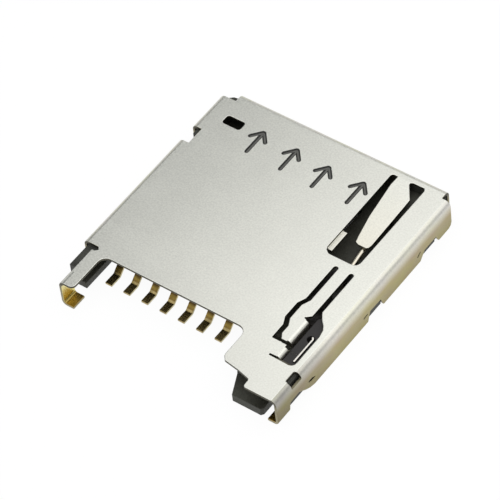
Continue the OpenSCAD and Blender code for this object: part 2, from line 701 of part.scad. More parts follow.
module slider() {
  color(black)
    difference() {
      union() {
        // long arm along the card
        slab(arm2_x, arm2_y, slide_z, slide_x1, body_y0 + 0.5, arm2_top);
        // cam plate
        slab(body_x0, body_y0, slide_z, slide_x1, body_y1, body_top);
        // tall rib along the plate
        slab(tall_x, body_y0, slide_z, slide_x1, body_y1, arm2_top);
        // post in the spring's front end
        translate([coil_x, body_y1 - eps, coil_z])
          rotate([-90, 0, 0])
            cylinder(h = 0.6, r = post_r);
      }
      translate([0, 0, slide_z + web_t])
        linear_extrude(cover_h)
          groove_outline();
      // slot for the lock spring, open at the right so it can flex
      slab(lock_x - lock_t / 2, arm2_y + 0.25, arm2_top - lock_h, lock_x + lock_t / 2 + 0.06,
        arm2_y + 1.84, cover_h);
      translate([lock_x - 0.09, arm2_y + 1.84, arm2_top - lock_h])
        cylinder(h = cover_h, r = 0.2);
      slab(arm2_x - eps, arm2_y + 0.25, slide_z + 0.1, lock_x, arm2_y + 0.43, arm2_top - 0.24);
      // chamfer for the card's leading corner
      translate([body_x0, body_y0, 0])
        rotate([0, 0, 45])
          cube([cam_wall * 0.9, cam_wall * 0.9, 4 * cover_h], center = true);
    }
}

module cam_pin() {
  low = leg_foot;
  color(steel)
    translate([pivot_x, pivot_y, 0])
      rotate([0, 0, pin_a]) {
        translate([pin_r, 0, pin_z])
          rotate([0, 90, 0])
            cylinder(h = pin_l - 2 * pin_r, r = pin_d / 2);
        translate([pin_r, 0, pin_z - pin_r])
          rotate([90, 0, 0])
            rotate([0, 0, 90])
              rotate_extrude(angle = 90)
                translate([pin_r, 0])
                  circle(pin_d / 2);
        translate([pin_l - pin_r, 0, pin_z - pin_r])
          rotate([90, 0, 0])
            rotate_extrude(angle = 90)
              translate([pin_r, 0])
                circle(pin_d / 2);
        translate([0, 0, floor_t + 0.01])
          cylinder(h = pin_z - pin_r - floor_t - 0.01, r = pin_d / 2);
        translate([pin_l, 0, low])
          cylinder(h = pin_z - pin_r - low, r = pin_d / 2);
      }
}

// Coil spring as a swept tube, its ends closed flat against both seats
coil_steps = 20;
coil_ring = 8;
module coil_spring() {
  l0 = body_y1;
  l1 = stop_y;
  mr = (coil_d - coil_wire) / 2;
  turns = coil_n;
  steps = turns * coil_steps;
  // closed turns at both ends, even pitch between
  pitch_of = function (u) u < 1 ? u * coil_wire * 1.02
    : u > turns - 1 ? (l1 - l0 - coil_wire) - (turns - u) * coil_wire * 1.02
    : coil_wire * 1.02 + (u - 1) * (l1 - l0 - coil_wire - 2.04 * coil_wire) / (turns - 2);
  pts = [for (s = [0:steps]) let (u = s / coil_steps, a = 360 * u, yy = l0 + coil_wire / 2 + pitch_of(u))
    for (k = [0:coil_ring - 1]) let (b = 360 * k / coil_ring, r = mr + coil_wire / 2 * cos(b))
      [coil_x + r * cos(a), yy + coil_wire / 2 * sin(b), coil_z + r * sin(a)]];
  n = coil_ring;
  sides = [for (s = [0:steps - 1]) for (k = [0:n - 1])
    each [[s * n + k, s * n + (k + 1) % n, (s + 1) * n + (k + 1) % n],
          [s * n + k, (s + 1) * n + (k + 1) % n, (s + 1) * n + k]]];
  cap0 = [[for (k = [n - 1:-1:0]) k]];
  cap1 = [[for (k = [0:n - 1]) steps * n + k]];
  color(steel)
    polyhedron(pts, concat(sides, cap0, cap1));
}

module lock_spring() {
  y1 = arm2_y + 1.84;
  color(steel) {
    // strip on edge with its rear end turned in
    translate([0, 0, arm2_top - lock_h])
      linear_extrude(lock_h + 0.02)
        polygon(strip(concat([[lock_x, arm2_y + 0.3]],
          arc([lock_x - 0.12, y1], 0.12, 0, 80, 6)), lock_t));
    // nose that holds the card's edge
    slab(arm2_x - 0.16, arm2_y + 0.3, slide_z + 0.14, lock_x, arm2_y + 0.3 + lock_t, arm2_top - 0.28);
  }
}

cover();
base();
contact_1();
contact_2();
contact_3();
contact_4();
contact_5();
contact_6();
contact_7();
contact_8();
switch_fixed();
switch_spring();
slider();
cam_pin();
coil_spring();
lock_spring();
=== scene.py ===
# A push-push card socket for a circuit board, on a white studio table.
# Everything is in metres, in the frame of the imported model: X along the mouth, +Y to the rear.
import math

import bmesh
import bpy
from mathutils import Matrix, Vector
from mathutils.bvhtree import BVHTree
from mathutils.geometry import intersect_line_line_2d


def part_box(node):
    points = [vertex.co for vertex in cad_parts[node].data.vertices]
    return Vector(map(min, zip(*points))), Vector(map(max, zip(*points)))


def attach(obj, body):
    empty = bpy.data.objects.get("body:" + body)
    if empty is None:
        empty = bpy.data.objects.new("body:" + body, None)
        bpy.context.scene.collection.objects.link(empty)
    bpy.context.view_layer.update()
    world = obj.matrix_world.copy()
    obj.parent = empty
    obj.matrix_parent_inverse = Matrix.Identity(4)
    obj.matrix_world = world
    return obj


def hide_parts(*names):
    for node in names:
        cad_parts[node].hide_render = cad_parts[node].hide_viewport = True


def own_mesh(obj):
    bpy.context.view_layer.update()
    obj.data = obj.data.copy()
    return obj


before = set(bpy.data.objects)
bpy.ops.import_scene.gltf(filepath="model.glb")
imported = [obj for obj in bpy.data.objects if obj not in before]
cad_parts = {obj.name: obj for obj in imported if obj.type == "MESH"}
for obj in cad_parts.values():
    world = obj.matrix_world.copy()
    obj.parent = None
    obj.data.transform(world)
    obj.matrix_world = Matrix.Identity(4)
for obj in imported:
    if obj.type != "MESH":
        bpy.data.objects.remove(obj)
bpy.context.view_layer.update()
scene = bpy.context.scene
scene.view_settings.view_transform = "Standard"
mm = 0.001


# The camera: a long lens looks down on the socket from its front right corner,
# turned a few degrees clockwise about its own axis.
def placed(name, data):
    """A new object in the scene, at the origin."""
    made = bpy.data.objects.new(name, data)
    scene.collection.objects.link(made)
    return made


azimuth = math.radians(41.49)
elevation = math.radians(48.98)
roll = math.radians(-7.40)
distance = 166.7 * mm
target = Vector((-0.523, 0.422, 0.1)) * mm
back = Vector((math.sin(azimuth) * math.cos(elevation),
               -math.cos(azimuth) * math.cos(elevation),
               math.sin(elevation)))
level = Vector((math.cos(azimuth), math.sin(azimuth), 0))
plumb = back.cross(level)
right = level * math.cos(roll) + plumb * math.sin(roll)
up = plumb * math.cos(roll) - level * math.sin(roll)
lens = bpy.data.cameras.new("camera")
lens.sensor_width = 36
lens.lens = 246.3
lens.clip_start = 10 * mm
lens.clip_end = 5
camera = placed("camera", lens)
turn = Matrix((right, up, back)).transposed().to_4x4()
camera.matrix_world = Matrix.Translation(target + back * distance) @ turn
scene.camera = camera


# The table and the light: a seamless white sheet in a white tent, with a soft lamp overhead.
# A grey card hangs to the left of the lamp and shades the satin metal from the right to the left.
def sheet_of(name, corners, finish):
    """A flat sheet between four corners in millimetres, in one material."""
    skin = bpy.data.meshes.new(name)
    skin.from_pydata([Vector(corner) * mm for corner in corners], [], [(0, 1, 2, 3)])
    skin.materials.append(finish)
    return placed(name, skin)


def node(tree, kind, inputs=None, **settings):
    """One node of a tree, with values or links for its inputs by name or number."""
    made = tree.nodes.new(kind)
    for key, value in settings.items():
        setattr(made, key, value)
    for key, value in (inputs or {}).items():
        if isinstance(value, bpy.types.NodeSocket):
            tree.links.new(value, made.inputs[key])
        else:
            made.inputs[key].default_value = value
    return made


def maths(tree, operation, a, b=0.0):
    """One sum of a node tree."""
    return node(tree, "ShaderNodeMath", {0: a, 1: b}, operation=operation).outputs[0]


def place(tree):
    """The place on a piece, in the frame of the model."""
    return node(tree, "ShaderNodeTexCoord").outputs["Object"]


def axes(tree, vector):
    """The X, Y and Z of a vector."""
    return node(tree, "ShaderNodeSeparateXYZ", {0: vector}).outputs


def material(name):
    """A new node material, still empty."""
    made = bpy.data.materials.new(name)
    made.use_nodes = True
    made.node_tree.nodes.clear()
    return made, made.node_tree


def surface(tree, kind, inputs):
    """Gives a material the shader that it shows."""
    node(tree, "ShaderNodeOutputMaterial", {"Surface": node(tree, kind, inputs).outputs[0]})


def seen_directly(tree):
    """1 for the rays from the lens and off metal, 0 for the rays that light the object."""
    path = node(tree, "ShaderNodeLightPath").outputs
    return maths(tree, "MAXIMUM", path["Is Camera Ray"], path["Is Glossy Ray"])


# The paper glows around the socket alone, so it stays dark under the cover's windows.
reach_x, reach_y, middle_y = 6.7 * mm, 5.2 * mm, 1.8 * mm
paper, tree = material("white paper")
matt = node(tree, "ShaderNodeBsdfDiffuse", {"Color": (0.9, 0.9, 0.9, 1)})
glow = node(tree, "ShaderNodeEmission", {"Color": (1, 1, 1, 1), "Strength": 1.05})
spot = node(tree, "ShaderNodeMapping", {"Vector": place(tree), "Location": (0, -middle_y / reach_y, 0),
                                        "Scale": (1 / reach_x, 1 / reach_y, 0)})
positive = node(tree, "ShaderNodeVectorMath", {0: spot.outputs[0]}, operation="ABSOLUTE")
off_middle = axes(tree, positive.outputs[0])
around = maths(tree, "GREATER_THAN", maths(tree, "MAXIMUM", off_middle["X"], off_middle["Y"]), 1.0)
share = maths(tree, "MULTIPLY", seen_directly(tree), maths(tree, "MULTIPLY", around, 0.9))
surface(tree, "ShaderNodeMixShader", {0: share, 1: matt.outputs[0], 2: glow.outputs[0]})

half, lift = 1500, 0.01
table = sheet_of("table", [(-half, -half, -lift), (half, -half, -lift),
                           (half, half, -lift), (-half, half, -lift)], paper)

world = bpy.data.worlds.new("tent")
world.use_nodes = True
scene.world = world
tree = world.node_tree
tree.nodes.clear()
tent = node(tree, "ShaderNodeBackground", {"Color": (0.97, 0.985, 1, 1), "Strength": 0.42})
white = node(tree, "ShaderNodeBackground", {"Color": (1, 1, 1, 1), "Strength": 0.7})
both = node(tree, "ShaderNodeMixShader", {0: seen_directly(tree), 1: tent.outputs[0],
                                          2: white.outputs[0]})
node(tree, "ShaderNodeOutputWorld", {"Surface": both.outputs[0]})

softbox = bpy.data.lights.new("softbox", "AREA")
softbox.shape = "RECTANGLE"
softbox.size, softbox.size_y = 90 * mm, 100 * mm
softbox.energy = 0.0185
softbox.color = (1, 0.99, 0.97)
lamp = placed("softbox", softbox)
lamp.matrix_world = Matrix.Translation(Vector((10, 14, 60)) * mm)
lamp.visible_camera = False

grey, tree = material("grey card")
surface(tree, "ShaderNodeEmission", {"Color": (0.97, 1, 1, 1), "Strength": 0.275})
card = sheet_of("grey card", [(-56, -20, 58), (-20, 80, 58), (-120, 116, 58), (-156, 16, 58)], grey)
card.visible_camera = card.visible_diffuse = card.visible_shadow = False


# The moulding: one piece of black glass-filled resin that carries the contacts and the slider.
# It is moulded round the contact strips and pressed up into the cover.
def settle(piece):
    """Keeps what a piece's modifiers make as its plain mesh."""
    bpy.context.view_layer.update()
    seen = piece.evaluated_get(bpy.context.evaluated_depsgraph_get())
    piece.data = bpy.data.meshes.new_from_object(seen)
    piece.modifiers.clear()
    return piece


def knots(face, reach, most=12):
    """The runs of corners, up to a reach long, where the outline of a face crosses itself."""
    across = max(range(3), key=lambda axis: abs(face.normal[axis]))
    corners = list(face.verts)
    flat = [Vector([c.co[axis] for axis in range(3) if axis != across]) for c in corners]
    n = len(corners)
    found = []
    for i in range(n):
        here, after = flat[i], flat[(i + 1) % n]
        for step in range(2, min(most, n - 2)):
            run = [corners[(i + 1 + k) % n] for k in range(step)]
            if sum((b.co - a.co).length for a, b in zip(run, run[1:])) > reach:
                break
            if intersect_line_line_2d(here, after, flat[(i + step) % n], flat[(i + step + 1) % n]):
                found.append(run)
    return found


def untangle(bm, reach, rounds=5):
    """Welds the knots that rounding leaves where a form is narrower than its rounded edges."""
    for _ in range(rounds):
        taken, runs = set(), []
        for face in bm.faces:
            for run in knots(face, reach) if len(face.verts) > 4 else []:
                if not taken & set(run):
                    taken |= set(run)
                    runs.append(run)
        for run in runs:
            middle = sum((c.co for c in run), Vector()) / len(run)
            bmesh.ops.pointmerge(bm, verts=run, merge_co=middle)
    bmesh.ops.dissolve_degenerate(bm, dist=0.0001 * mm, edges=bm.edges)


def soft_edged(source, name, width, materials):
    """A copy of a CAD node as one closed skin, its flats whole and its edges rounded to width.
    The edges of slivers stay sharp, and no corner is thrown off the surface or out of the box."""
    made = placed(name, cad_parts[source].data.copy())
    bm = bmesh.new()
    bm.from_mesh(made.data)
    bmesh.ops.remove_doubles(bm, verts=bm.verts, dist=0.0002 * mm)
    bmesh.ops.recalc_face_normals(bm, faces=bm.faces)
    bmesh.ops.dissolve_limit(bm, angle_limit=math.radians(1), verts=bm.verts, edges=bm.edges)
    for face in bm.faces:
        face.smooth = True
        face.material_index = 0
    sharp, sliver = math.radians(35), width / 4
    weight = bm.edges.layers.float.new("bevel_weight_edge")
    for edge in bm.edges:
        breadth = min(2 * face.calc_area() / face.calc_perimeter() for face in edge.link_faces)
        edge[weight] = edge.calc_face_angle(0) > sharp and breadth > sliver
    cad_skin = BVHTree.FromBMesh(bm)
    bm.to_mesh(made.data)
    made.data.materials.clear()
    for finish in materials:
        made.data.materials.append(finish)
    rounding = made.modifiers.new("rounded edges", "BEVEL")
    rounding.width = width
    rounding.segments = 2
    rounding.limit_method = "WEIGHT"
    rounding.use_clamp_overlap = rounding.loop_slide = False
    rounding.miter_outer = "MITER_ARC"
    settle(made)
    bm.clear()
    bm.from_mesh(made.data)
    low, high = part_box(source)
    for vert in bm.verts:
        nearest, _, _, off = cad_skin.find_nearest(vert.co)
        if off > width / 2:
            vert.co = nearest
        vert.co = [min(max(at, least), most) for at, least, most in zip(vert.co, low, high)]
    untangle(bm, 0.3 * mm)
    bm.to_mesh(made.data)
    bm.free()
    return made


def even_shading(piece, broad=0.1 * mm):
    """Gives each flat one normal, and the rounded edges normals that run from flat to flat.
    A face counts as a flat when it is broader than this."""
    skin = piece.data
    skin.update()
    touching = [[] for _ in skin.vertices]
    flats = set()
    for face in skin.polygons:
        for index in face.vertices:
            touching[index].append(face)
        outline = sum((skin.vertices[a].co - skin.vertices[b].co).length for a, b in face.edge_keys)
        if 2 * face.area > broad * outline:
            flats.add(face.index)
    same_edge = math.cos(math.radians(50))
    normals = []
    for face in skin.polygons:
        for index in face.vertices:
            near = [other for other in touching[index] if other.normal.dot(face.normal) > same_edge]
            near = [other for other in near if other.index in flats] or near
            blend = sum((other.normal * other.area for other in near), Vector())
            normals.append(face.normal if face.index in flats else blend.normalized())
    skin.normals_split_custom_set(normals)


def group(name, inputs, outputs):
    """An empty shader group with named value inputs and outputs."""
    made = bpy.data.node_groups.new(name, "ShaderNodeTree")
    for label, value in inputs.items():
        socket = made.interface.new_socket(label, in_out="INPUT", socket_type="NodeSocketFloat")
        socket.default_value = value
    for label, kind in outputs.items():
        made.interface.new_socket(label, in_out="OUTPUT", socket_type=kind)
    return made, node(made, "NodeGroupInput").outputs, node(made, "NodeGroupOutput").inputs


def noise(tree, where, scale, detail, stretch=None):
    """Noise from 0 to 1, which may be stretched along an axis."""
    if stretch:
        where = node(tree, "ShaderNodeMapping", {"Vector": where, "Scale": stretch}).outputs[0]
    return node(tree, "ShaderNodeTexNoise", {"Vector": where, "Scale": scale,
                                             "Detail": detail}).outputs[0]


# Grain of a surface, as a height and a mask: fine pits under broad clouds.
grain, given, result = group("surface grain", {"Pit scale": 20000, "Cloud scale": 600, "Pits": 0.7},
                             {"Height": "NodeSocketFloat", "Cloud": "NodeSocketFloat"})
pits = noise(grain, place(grain), given["Pit scale"], detail=3)
cloud = noise(grain, place(grain), given["Cloud scale"], detail=2)
height = node(grain, "ShaderNodeMix", {"Factor": given["Pits"], "A": cloud, "B": pits}).outputs[0]
grain.links.new(height, result["Height"])
grain.links.new(cloud, result["Cloud"])


def grained(tree, pit, cloud, pits):
    """The height and the clouds of the grain group, with pits and clouds sized in millimetres
    and the share that the pits have in the height."""
    made = node(tree, "ShaderNodeGroup", node_tree=grain)
    made.inputs["Pit scale"].default_value = 1 / (pit * mm)
    made.inputs["Cloud scale"].default_value = 1 / (cloud * mm)
    made.inputs["Pits"].default_value = pits
    return made.outputs["Height"], made.outputs["Cloud"]


def between(tree, mask, low, high, start=0.35, end=0.65):
    """A value that follows a mask from low to high."""
    return node(tree, "ShaderNodeMapRange", {"Value": mask, "From Min": start, "From Max": end,
                                             "To Min": low, "To Max": high}).outputs[0]


def shades(tree, mask, low, high, start=0.35, end=0.65):
    """A colour that follows a mask from low to high."""
    ramp = node(tree, "ShaderNodeValToRGB", {"Fac": mask})
    ramp.color_ramp.elements[0].position = start
    ramp.color_ramp.elements[0].color = (*low, 1)
    ramp.color_ramp.elements[1].position = end
    ramp.color_ramp.elements[1].color = (*high, 1)
    return ramp.outputs["Color"]


def tinted(tree, share, colour, tint, how="MULTIPLY"):
    """A colour that takes a share of a tint, by multiplying, adding or mixing."""
    return node(tree, "ShaderNodeMix", {"Factor": share, 6: colour, 7: tint},
                data_type="RGBA", blend_type=how).outputs[2]


def bump(tree, height, depth):
    """A normal that rises and falls by a depth in millimetres."""
    return node(tree, "ShaderNodeBump", {"Height": height, "Distance": depth * mm,
                                         "Strength": 1}).outputs[0]


def resin(name, dark, light, rough, painted_low_light):
    """Black moulded resin: a fine eroded skin with paler flecks of glass, and paler low down by
    painted light from the bright table.
    """
    made, tree = material(name)
    skin, cloud = grained(tree, pit=0.035, cloud=0.9, pits=0.6)
    flecked = shades(tree, skin, dark, light, start=0.42, end=0.62)
    # The resin is made paler low down, near the bright table: painted light.
    low_down = between(tree, axes(tree, place(tree))["Z"], 1, 0, start=0.9 * mm, end=1.3 * mm)
    surface(tree, "ShaderNodeBsdfPrincipled", {
        "Base Color": tinted(tree, low_down, flecked, (*painted_low_light, 1), "ADD"),
        "Roughness": between(tree, cloud, rough - 0.05, rough + 0.08),
        "Specular IOR Level": 0.35,
        "Normal": bump(tree, skin, 0.004)})
    return made


# The last colour of each resin is painted light, added low down.
black_resin = resin("black resin", dark=(0.03, 0.0305, 0.025), light=(0.085, 0.087, 0.072),
                    rough=0.5, painted_low_light=(0.012, 0.011, 0.007))
moulding = soft_edged("base", "moulding", 0.02 * mm, [black_resin])
even_shading(moulding)
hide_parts("base")
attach(moulding, "housing")


# The contacts: eight strips of phosphor bronze, gold flashed, stamped on one carrier, moulded in.
# Their tails are bent down to the board at the mouth, and their beams rise through the floor.
def by_height(tree, stops):
    """A colour that changes with the height over the board, from (height in mm, colour) stops."""
    full = stops[-1][0]
    share = maths(tree, "DIVIDE", axes(tree, place(tree))["Z"], full * mm)
    ramp = node(tree, "ShaderNodeValToRGB", {"Fac": share})
    for _ in stops[2:]:
        ramp.color_ramp.elements.new(0.5)
    for element, (at, colour) in zip(ramp.color_ramp.elements, stops):
        element.position = at / full
        element.color = (*colour, 1)
    return ramp.outputs["Color"]


def mottled(tree, colour, mask, dark):
    """A colour that is dulled in spots by a mask, down to a share of itself."""
    return tinted(tree, 1.0, colour, shades(tree, mask, (dark, dark, dark), (1, 1, 1)))


def gold_flash(name, rough, stops):
    """Thin gold over nickel, a little uneven, with drawing marks along the strip."""
    made, tree = material(name)
    film, cloud = grained(tree, pit=0.05, cloud=0.22, pits=0.5)
    drawn = noise(tree, place(tree), 1 / (0.03 * mm), detail=1, stretch=(1, 0.06, 0.3))
    surface(tree, "ShaderNodeBsdfPrincipled", {
        "Base Color": mottled(tree, by_height(tree, stops), cloud, 0.66),
        "Metallic": 0.93,
        "Roughness": between(tree, drawn, rough - 0.06, rough + 0.08),
        "Normal": bump(tree, film, 0.0007)})
    return made


def geometry_tree(name, inputs):
    """An empty Geometry Nodes tree with named inputs, and its input and output sockets."""
    made = bpy.data.node_groups.new(name, "GeometryNodeTree")
    made.interface.new_socket("Geometry", in_out="INPUT", socket_type="NodeSocketGeometry")
    for label, (kind, value) in inputs.items():
        made.interface.new_socket(label, in_out="INPUT", socket_type=kind).default_value = value
    made.interface.new_socket("Geometry", in_out="OUTPUT", socket_type="NodeSocketGeometry")
    return made, node(made, "NodeGroupInput").outputs, node(made, "NodeGroupOutput").inputs


def grow(piece, tree, values):
    """Runs a tree on a piece with values for its inputs, and keeps the result as a plain mesh."""
    run = piece.modifiers.new(tree.name, "NODES")
    run.node_group = tree
    for item in tree.interface.items_tree:
        if item.in_out == "INPUT" and item.name in values:
            run[item.identifier] = values[item.name]
    return settle(piece)


# The gold's colour by height is painted light: a dark foot, a painted highlight along the crease,
# painted reflections on the slope and painted shadow under the cover's edge at the top.
gold = gold_flash("gold flash", rough=0.24, stops=[
    (0, (0.44, 0.36, 0.19)), (0.11, (0.44, 0.34, 0.14)), (0.17, (0.72, 0.57, 0.26)),
    (0.22, (0.32, 0.21, 0.06)), (0.31, (0.44, 0.31, 0.075)), (0.42, (0.13, 0.08, 0.026)),
    (1.2, (0.3, 0.23, 0.09))])
cut_gold = gold_flash("cut gold edge", rough=0.35, stops=[
    (0, (0.6, 0.54, 0.32)), (0.4, (0.7, 0.6, 0.34)), (1.2, (0.3, 0.23, 0.09))])

contact_count = 8
row, given, result = geometry_tree("row of contacts", {
    "Count": ("NodeSocketInt", contact_count), "Spacing": ("NodeSocketFloat", 1.1 * mm)})
step = node(row, "ShaderNodeCombineXYZ", {"X": given["Spacing"]})
places = node(row, "GeometryNodeMeshLine", {"Count": given["Count"], "Offset": step.outputs[0]})
copies = node(row, "GeometryNodeInstanceOnPoints", {"Points": places.outputs[0],
                                                    "Instance": given["Geometry"]})
real = node(row, "GeometryNodeRealizeInstances", {"Geometry": copies.outputs[0]})
plated = node(row, "GeometryNodeSetMaterial", {"Geometry": real.outputs[0], "Material": gold})
sideways = maths(row, "ABSOLUTE", axes(row, node(row, "GeometryNodeInputNormal").outputs[0])["X"])
cut = node(row, "GeometryNodeSetMaterial", {"Geometry": plated.outputs[0], "Material": cut_gold,
                                            "Selection": maths(row, "GREATER_THAN", sideways, 0.5)})
row.links.new(cut.outputs[0], result["Geometry"])

first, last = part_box("contact_1")[0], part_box("contact_8")[0]
contacts = soft_edged("contact_1", "contacts", 0.012 * mm, [gold])
grow(contacts, row, {"Count": contact_count, "Spacing": (last.x - first.x) / (contact_count - 1)})
even_shading(contacts, broad=0.03 * mm)
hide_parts(*[f"contact_{i}" for i in range(1, contact_count + 1)])
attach(contacts, "housing")

# The card switch: two leaves of the same gold-flashed strip stand in the rear wall.
# The sprung one is pushed against the other by a card that is fully in.
for leaf_name in ("switch_fixed", "switch_spring"):
    leaf = soft_edged(leaf_name, leaf_name + "_leaf", 0.01 * mm, [gold])
    even_shading(leaf, broad=0.03 * mm)
    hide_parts(leaf_name)
    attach(leaf, "housing")

# The slider: a moulded resin runner with the heart-shaped cam groove in its plate.
# It runs in the lane at the right of the card, and the card's corner pushes it back.
# Its last colour is painted light, added low down near the table.
runner_resin = resin("runner resin", dark=(0.024, 0.0225, 0.022), light=(0.046, 0.042, 0.043),
                     rough=0.42, painted_low_light=(0.02, 0.018, 0.012))
slider = soft_edged("slider", "runner", 0.02 * mm, [runner_resin])
even_shading(slider)
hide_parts("slider")
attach(slider, "slide")


# The cam pin: bright spring wire bent into a long staple. One leg stands in the moulding's bore,
# the other rides in the slider's groove, and the cover's tongue holds it down.
def spring_steel(name, dark, light, rough):
    """Bright drawn steel with fine marks."""
    made, tree = material(name)
    film, cloud = grained(tree, pit=0.03, cloud=0.3, pits=0.5)
    surface(tree, "ShaderNodeBsdfPrincipled", {
        "Base Color": shades(tree, cloud, dark, light),
        "Metallic": 1,
        "Roughness": between(tree, film, rough - 0.06, rough + 0.06),
        "Normal": bump(tree, film, 0.001)})
    return made


def bent_line(tree, edges, radius, steps):
    """A run of edges as a curve with rounded bends."""
    route = node(tree, "GeometryNodeMeshToCurve", {"Mesh": edges})
    return node(tree, "GeometryNodeFilletCurve", {"Curve": route.outputs[0], "Count": steps,
                                                  "Radius": radius}, mode="POLY").outputs[0]


def rod(tree, curve, radius, sides):
    """A round rod along a curve, with closed ends."""
    ring = node(tree, "GeometryNodeCurvePrimitiveCircle", {"Resolution": sides, "Radius": radius})
    return node(tree, "GeometryNodeCurveToMesh", {"Curve": curve, "Profile Curve": ring.outputs[0],
                                                  "Fill Caps": True}).outputs[0]


def dress(tree, shape, finish, result):
    """Ends a tree with its shape made smooth and real, in one material."""
    smooth = node(tree, "GeometryNodeSetShadeSmooth", {"Geometry": shape, "Shade Smooth": True})
    real = node(tree, "GeometryNodeRealizeInstances", {"Geometry": smooth.outputs[0]})
    done = node(tree, "GeometryNodeSetMaterial", {"Geometry": real.outputs[0], "Material": finish})
    tree.links.new(done.outputs[0], result["Geometry"])


def bare_edges(name, runs):
    """A piece of bare edges along runs of points. A run of one point is a bare point."""
    points, edges = [], []
    for run in runs:
        start = len(points)
        points += run
        edges += [(start + i, start + i + 1) for i in range(len(run) - 1)]
    lines = bpy.data.meshes.new(name)
    lines.from_pydata(points, edges, [])
    return placed(name, lines)


wire_steel = spring_steel("bright wire", dark=(0.66, 0.61, 0.50), light=(0.80, 0.76, 0.66),
                          rough=0.22)
wire_r, bend_r = 0.14 * mm, 0.2 * mm
staple, given, result = geometry_tree("bent wire", {
    "Wire radius": ("NodeSocketFloat", wire_r), "Bend radius": ("NodeSocketFloat", bend_r)})
route = bent_line(staple, given["Geometry"], given["Bend radius"], steps=10)
dress(staple, rod(staple, route, given["Wire radius"], sides=24), wire_steel, result)

low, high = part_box("cam_pin")
top_z = high.z - wire_r
fixed = Vector((low.x + wire_r, high.y - wire_r, top_z))
moving = Vector((high.x - wire_r, low.y + wire_r, top_z))
fixed_foot, moving_foot = low.z, 0.77 * mm
bow = (fixed + moving) / 2 + Vector((0.05 * mm, 0, 0))
pin = bare_edges("pin", [[(fixed.x, fixed.y, fixed_foot), fixed, bow, moving,
                          (moving.x, moving.y, moving_foot)]])
grow(pin, staple, {"Wire radius": wire_r, "Bend radius": bend_r})
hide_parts("cam_pin")
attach(pin, "pin")

# The coil spring: fifteen turns of round spring wire with closed ends.
# It stands between two posts behind the slider and pushes it forward.
low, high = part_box("coil_spring")
turns, steps = 15.0, 28
length = high.y - low.y
coil_wire = 0.055 * mm
coil_r = (high.x - low.x) / 2 - coil_wire
coil, given, result = geometry_tree("coil", {
    "Turns": ("NodeSocketFloat", turns), "Steps": ("NodeSocketInt", steps),
    "Length": ("NodeSocketFloat", length), "Coil radius": ("NodeSocketFloat", coil_r),
    "Wire radius": ("NodeSocketFloat", coil_wire), "Start": ("NodeSocketVector", (0, 0, 0))})
loops = node(coil, "GeometryNodeCurveSpiral", {
    "Resolution": given["Steps"], "Rotations": given["Turns"], "Height": 0.0,
    "Start Radius": given["Coil radius"], "End Radius": given["Coil radius"]})

# The end turns rise by little more than the wire's thickness, and the free turns share the rest.
turns_done = maths(coil, "DIVIDE", node(coil, "GeometryNodeInputIndex").outputs[0], given["Steps"])
closed_rise = maths(coil, "MULTIPLY", given["Wire radius"], 2.04)
free_turns = maths(coil, "SUBTRACT", given["Turns"], 2.0)
span = maths(coil, "SUBTRACT", given["Length"], maths(coil, "MULTIPLY", given["Wire radius"], 2.0))
slack = maths(coil, "SUBTRACT", span, maths(coil, "MULTIPLY", closed_rise, given["Turns"]))
free_turns_done = node(coil, "ShaderNodeClamp", {"Value": maths(coil, "SUBTRACT", turns_done, 1.0),
                                                 "Min": 0.0, "Max": free_turns}).outputs[0]
rise = maths(coil, "ADD", maths(coil, "MULTIPLY", turns_done, closed_rise),
             maths(coil, "MULTIPLY", free_turns_done, maths(coil, "DIVIDE", slack, free_turns)))

# The flat spiral is stood up along Y, from its start on.
flat = axes(coil, node(coil, "GeometryNodeInputPosition").outputs[0])
along = maths(coil, "ADD", rise, given["Wire radius"])
stood = node(coil, "ShaderNodeCombineXYZ", {"X": flat["X"], "Y": along, "Z": flat["Y"]})
moved = node(coil, "ShaderNodeVectorMath", {0: stood.outputs[0], 1: given["Start"]}, operation="ADD")
helix = node(coil, "GeometryNodeSetPosition", {"Geometry": loops.outputs[0],
                                               "Position": moved.outputs[0]})
dress(coil, rod(coil, helix.outputs[0], given["Wire radius"], sides=12), wire_steel, result)

middle = (low + high) / 2
spring = placed("spring", bpy.data.meshes.new("spring"))
grow(spring, coil, {"Turns": turns, "Steps": steps, "Length": length, "Wire radius": coil_wire,
                    "Coil radius": coil_r, "Start": (middle.x, low.y, middle.z)})
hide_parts("coil_spring")
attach(spring, "housing")
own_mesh(spring)

# The lock spring: a strip of spring steel on edge in the slider's long arm.
# Its rear end is curled round, and its nose at the front holds the card's notch.
spring_strip = spring_steel("spring strip", dark=(0.70, 0.68, 0.62), light=(0.84, 0.82, 0.77),
                            rough=0.25)
lock = soft_edged("lock_spring", "card_lock", 0.012 * mm, [spring_strip])
even_shading(lock)
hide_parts("lock_spring")
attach(lock, "slide")


# The cover: stainless sheet, nickel plated, blanked and folded in one piece.
# It is pressed down over the moulding, and its feet are soldered to the board.
def nickel(name, rough, stops, dull=0.86, stain=0.0, painted_front_shade=1.0):
    """Nickel plate with a fine rolled grain, coloured by height from stops that hold painted light.
    It is dulled in the grain's pits, stained low down, and darkened to the front by painted shade."""
    made, tree = material(name)
    satin, cloud = grained(tree, pit=0.09, cloud=1.1, pits=0.85)
    at = axes(tree, place(tree))
    blotches = noise(tree, place(tree), 1 / (0.8 * mm), detail=3, stretch=(1, 0.5, 1))
    pink_to_yellow = shades(tree, blotches, (0.92, 0.83, 0.86), (0.97, 0.95, 0.68))
    low_down = between(tree, at["Z"], 1, 0.4, start=1.0 * mm, end=1.5 * mm)
    stained = maths(tree, "MULTIPLY", maths(tree, "MULTIPLY", cloud, stain), low_down)
    plate = tinted(tree, stained, by_height(tree, stops), pink_to_yellow)
    # Darker to the front: painted shade.
    plate = tinted(tree, 1.0, plate, between(tree, at["Y"], painted_front_shade, 1, start=-7 * mm, end=-3 * mm))
    surface(tree, "ShaderNodeBsdfPrincipled", {
        "Base Color": mottled(tree, plate, satin, dull),
        "Metallic": 1,
        "Roughness": between(tree, satin, rough - 0.04, rough + 0.05),
        "Normal": bump(tree, satin, 0.002)})
    return made


